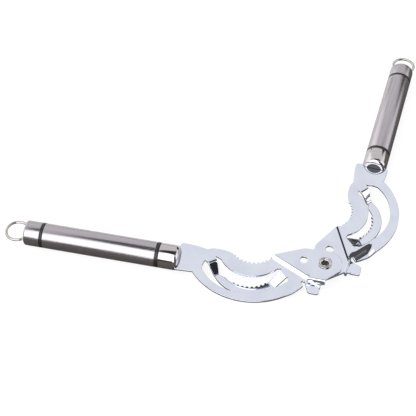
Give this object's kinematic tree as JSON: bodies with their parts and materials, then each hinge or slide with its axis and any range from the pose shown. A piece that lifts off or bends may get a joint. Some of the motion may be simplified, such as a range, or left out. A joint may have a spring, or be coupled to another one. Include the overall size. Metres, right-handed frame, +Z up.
{
  "type": "nutcracker",
  "caption": "Plier-type nutcracker: two pressed sheet-steel jaws with toothed mouths turn on one eyelet, each with a tubular steel handle and a wire hanging loop.",
  "frame": {"origin": "centre of the footprint, on the surface that the tool lies on, with the arms spread at the rest angle", "axes": "+Z up from that surface, +Y from the pivot towards the open mouth, +X from the left handle towards the right handle"},
  "size_m": [0.3628, 0.165, 0.018],
  "materials": {
    "jaw_steel": "polished sheet",
    "brushed_steel": "brushed along the handle",
    "polished_steel": "mirror polish",
    "wire_steel": "drawn and polished wire",
    "black_rubber": "satin",
    "zinc_steel": "zinc plated",
    "core_plastic": "moulded"
  },
  "bodies": {
    "left_arm": {"left_jaw_plate": "jaw_steel", "left_front_ferrule": "polished_steel", "left_tang_pin": "zinc_steel", "left_front_band": "black_rubber", "left_handle_tube": "brushed_steel", "left_handle_core": "core_plastic", "left_tie_rod": "zinc_steel", "left_rod_washer": "zinc_steel", "left_rod_nut": "zinc_steel", "left_rear_band": "black_rubber", "left_rear_cap": "brushed_steel", "left_hanging_loop": "wire_steel", "pivot_eyelet": "polished_steel", "pivot_washer": "zinc_steel"},
    "right_arm": {"right_jaw_plate": "jaw_steel", "right_front_ferrule": "polished_steel", "right_tang_pin": "zinc_steel", "right_front_band": "black_rubber", "right_handle_tube": "brushed_steel", "right_handle_core": "core_plastic", "right_tie_rod": "zinc_steel", "right_rod_washer": "zinc_steel", "right_rod_nut": "zinc_steel", "right_rear_band": "black_rubber", "right_rear_cap": "brushed_steel", "right_hanging_loop": "wire_steel"}
  },
  "joints": [
    {"name": "pivot_turn", "type": "hinge", "parent": "left_arm", "child": "right_arm", "pos_m": [0, -0.0655, 0.0107], "axis": [0, 0, 1], "range_deg": [-50, 91]}
  ]
}
